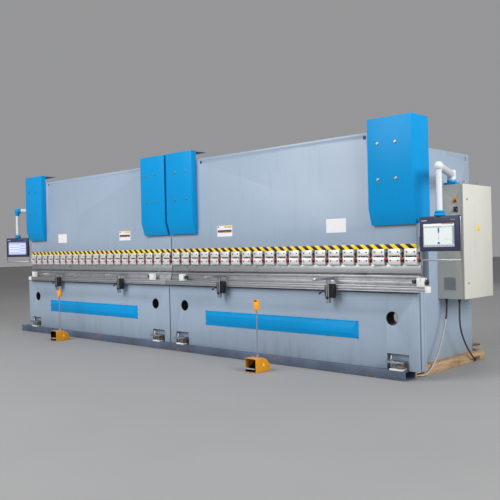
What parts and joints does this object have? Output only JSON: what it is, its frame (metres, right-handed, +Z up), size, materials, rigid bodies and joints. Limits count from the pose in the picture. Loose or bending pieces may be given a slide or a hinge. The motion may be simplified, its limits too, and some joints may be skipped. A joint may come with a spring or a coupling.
{
  "type": "press brake",
  "caption": "Tandem hydraulic press brake: paired side frames, beds and rams with quick-clamped punches, cylinder covers, back gauge, cabinet, swing-arm panels and foot pedals.",
  "frame": {"origin": "on the floor, under the middle of the gap between the two machines, in the plane of the ram's front face", "axes": "+X to the operator's right along the bed, +Y from the operator to the rear, +Z up"},
  "size_m": [9.162, 2.495, 2.8],
  "materials": {
    "machine_paint": "semi-gloss light blue-grey",
    "cover_paint": "gloss bright blue",
    "steel": "ground steel",
    "dark_steel": "black oxide",
    "clamp_steel": "bright nickel",
    "rod_chrome": "polished",
    "rail_aluminium": "anodised",
    "cabinet_paint": "textured cream",
    "gear_plastic": "moulded",
    "panel_case": "moulded dark blue",
    "screen_glass": "lit display",
    "arm_paint": "smooth light grey",
    "pedal_paint": "gloss orange yellow",
    "treadle_paint": "worn blue",
    "red_plastic": "gloss red",
    "black_plastic": "moulded",
    "white_block": "white",
    "skid_paint": "worn blue-grey with rust",
    "timber": "sawn",
    "cable_wrap": "spiral wrap",
    "cable_rubber": "sheath",
    "tank_paint": "light blue-grey",
    "motor_paint": "blue-grey"
  },
  "bodies": {
    "frame": {"skid_beams": "skid_paint", "skid_timbers": "timber", "side_frames": "machine_paint", "cross_beams": "machine_paint", "bed_front_plates": "machine_paint", "bed_cores": "machine_paint", "bed_trim_panels": "cover_paint", "crowning_tables": "steel", "lower_dies": "steel", "hydraulic_cylinders": "dark_steel", "cylinder_covers": "cover_paint", "oil_tanks": "tank_paint", "pump_motors": "motor_paint", "oil_pipes": "steel", "front_rails": "rail_aluminium", "rail_end_blocks": "white_block", "levelling_feet": "steel", "back_gauge_guides": "steel", "cabinet_shell": "cabinet_paint", "cabinet_electrics": "gear_plastic", "cabinet_fittings": "steel", "arm_bases": "cover_paint", "pedal_housings": "pedal_paint", "estop_posts": "pedal_paint", "pedal_cable": "cable_wrap", "supply_cable": "cable_rubber", "supply_plug": "red_plastic"},
    "left_ram_unit": {"left_ram": "machine_paint", "left_clamps": "clamp_steel", "left_punch": "steel", "left_piston_rods": "rod_chrome"},
    "right_ram_unit": {"right_ram": "machine_paint", "right_clamps": "clamp_steel", "right_punch": "steel", "right_piston_rods": "rod_chrome"},
    "cabinet_door": {"cabinet_door": "cabinet_paint"},
    "start_button": {"start_button": "red_plastic"},
    "selector": {"selector_switch": "black_plastic"},
    "right_arm": {"right_arm": "arm_paint"},
    "left_arm": {"left_arm": "arm_paint"},
    "right_panel": {"right_panel": "panel_case", "right_screen": "screen_glass"},
    "left_panel": {"left_panel": "panel_case", "left_screen": "screen_glass"},
    "left_treadle": {"left_treadle": "treadle_paint"},
    "right_treadle": {"right_treadle": "treadle_paint"},
    "left_estop": {"left_estop": "red_plastic"},
    "right_estop": {"right_estop": "red_plastic"},
    "left_gauge": {"left_gauge_carriages": "dark_steel"},
    "right_gauge": {"right_gauge_carriages": "dark_steel"},
    "left_gauge_lift": {"left_gauge_beam": "rail_aluminium"},
    "right_gauge_lift": {"right_gauge_beam": "rail_aluminium"},
    "support_1": {"support_1_carriage": "dark_steel"},
    "support_1_height": {"support_1_post": "rail_aluminium"},
    "support_2": {"support_2_carriage": "dark_steel"},
    "support_2_height": {"support_2_post": "rail_aluminium"},
    "support_3": {"support_3_carriage": "dark_steel"},
    "support_3_height": {"support_3_post": "rail_aluminium"},
    "support_4": {"support_4_carriage": "dark_steel"},
    "support_4_height": {"support_4_post": "rail_aluminium"}
  },
  "joints": [
    {"name": "left_ram_slide", "type": "slide", "parent": "frame", "child": "left_ram_unit", "axis": [0, 0, 1], "range_m": [-0.025, 0.175]},
    {"name": "right_ram_slide", "type": "slide", "parent": "frame", "child": "right_ram_unit", "axis": [0, 0, 1], "range_m": [-0.025, 0.175]},
    {"name": "cabinet_door_hinge", "type": "hinge", "parent": "frame", "child": "cabinet_door", "pos_m": [4.096, 1.536, 1.45], "axis": [0, 0, 1], "range_deg": [0, 120]},
    {"name": "start_button_press", "type": "slide", "parent": "frame", "child": "start_button", "axis": [0, 1, 0], "range_m": [0, 0.006], "stiffness_N_per_m": 600},
    {"name": "selector_turn", "type": "hinge", "parent": "frame", "child": "selector", "pos_m": [4.016, 0.79, 1.812], "axis": [0, 1, 0], "range_deg": [-45, 45]},
    {"name": "right_arm_swing", "type": "hinge", "parent": "frame", "child": "right_arm", "pos_m": [3.947, 0.852, 2.2], "axis": [0, 0, 1], "range_deg": [-1.5, 65]},
    {"name": "left_arm_swing", "type": "hinge", "parent": "frame", "child": "left_arm", "pos_m": [-3.9, 0.56, 2.2], "axis": [0, 0, 1], "range_deg": [-45, 16]},
    {"name": "right_panel_swivel", "type": "hinge", "parent": "right_arm", "child": "right_panel", "pos_m": [4.27016, -0.0456, 1.73], "axis": [0, 0, 1], "range_deg": [-90, 90]},
    {"name": "left_panel_swivel", "type": "hinge", "parent": "left_arm", "child": "left_panel", "pos_m": [-4.4353, -0.03452, 1.73], "axis": [0, 0, 1], "range_deg": [-90, 90]},
    {"name": "left_treadle_press", "type": "hinge", "parent": "frame", "child": "left_treadle", "pos_m": [-2.31, -0.37, 0.057], "axis": [1, 0, 0], "range_deg": [0, 5.5], "stiffness_Nm_per_rad": 60, "springref_deg": -20.05},
    {"name": "left_estop_press", "type": "slide", "parent": "frame", "child": "left_estop", "axis": [0, 0, -1], "range_m": [0, 0.006], "stiffness_N_per_m": 1500, "springref_m": -0.002},
    {"name": "right_treadle_press", "type": "hinge", "parent": "frame", "child": "right_treadle", "pos_m": [2.205, -0.5, 0.057], "axis": [1, 0, 0], "range_deg": [0, 5.5], "stiffness_Nm_per_rad": 60, "springref_deg": -20.05},
    {"name": "right_estop_press", "type": "slide", "parent": "frame", "child": "right_estop", "axis": [0, 0, -1], "range_m": [0, 0.006], "stiffness_N_per_m": 1500, "springref_m": -0.002},
    {"name": "left_gauge_depth", "type": "slide", "parent": "frame", "child": "left_gauge", "axis": [0, 1, 0], "range_m": [-0.075, 0.3]},
    {"name": "left_gauge_height", "type": "slide", "parent": "left_gauge", "child": "left_gauge_lift", "axis": [0, 0, 1], "range_m": [0, 0.05]},
    {"name": "right_gauge_depth", "type": "slide", "parent": "frame", "child": "right_gauge", "axis": [0, 1, 0], "range_m": [-0.075, 0.3]},
    {"name": "right_gauge_height", "type": "slide", "parent": "right_gauge", "child": "right_gauge_lift", "axis": [0, 0, 1], "range_m": [0, 0.05]},
    {"name": "support_1_slide", "type": "slide", "parent": "frame", "child": "support_1", "axis": [1, 0, 0], "range_m": [-0.5, 0.5]},
    {"name": "support_1_lift", "type": "slide", "parent": "support_1", "child": "support_1_height", "axis": [0, 0, 1], "range_m": [-0.04, 0.015]},
    {"name": "support_2_slide", "type": "slide", "parent": "frame", "child": "support_2", "axis": [1, 0, 0], "range_m": [-0.5, 0.5]},
    {"name": "support_2_lift", "type": "slide", "parent": "support_2", "child": "support_2_height", "axis": [0, 0, 1], "range_m": [-0.04, 0.015]},
    {"name": "support_3_slide", "type": "slide", "parent": "frame", "child": "support_3", "axis": [1, 0, 0], "range_m": [-0.5, 0.5]},
    {"name": "support_3_lift", "type": "slide", "parent": "support_3", "child": "support_3_height", "axis": [0, 0, 1], "range_m": [-0.04, 0.015]},
    {"name": "support_4_slide", "type": "slide", "parent": "frame", "child": "support_4", "axis": [1, 0, 0], "range_m": [-0.5, 0.5]},
    {"name": "support_4_lift", "type": "slide", "parent": "support_4", "child": "support_4_height", "axis": [0, 0, 1], "range_m": [-0.04, 0.015]}
  ]
}
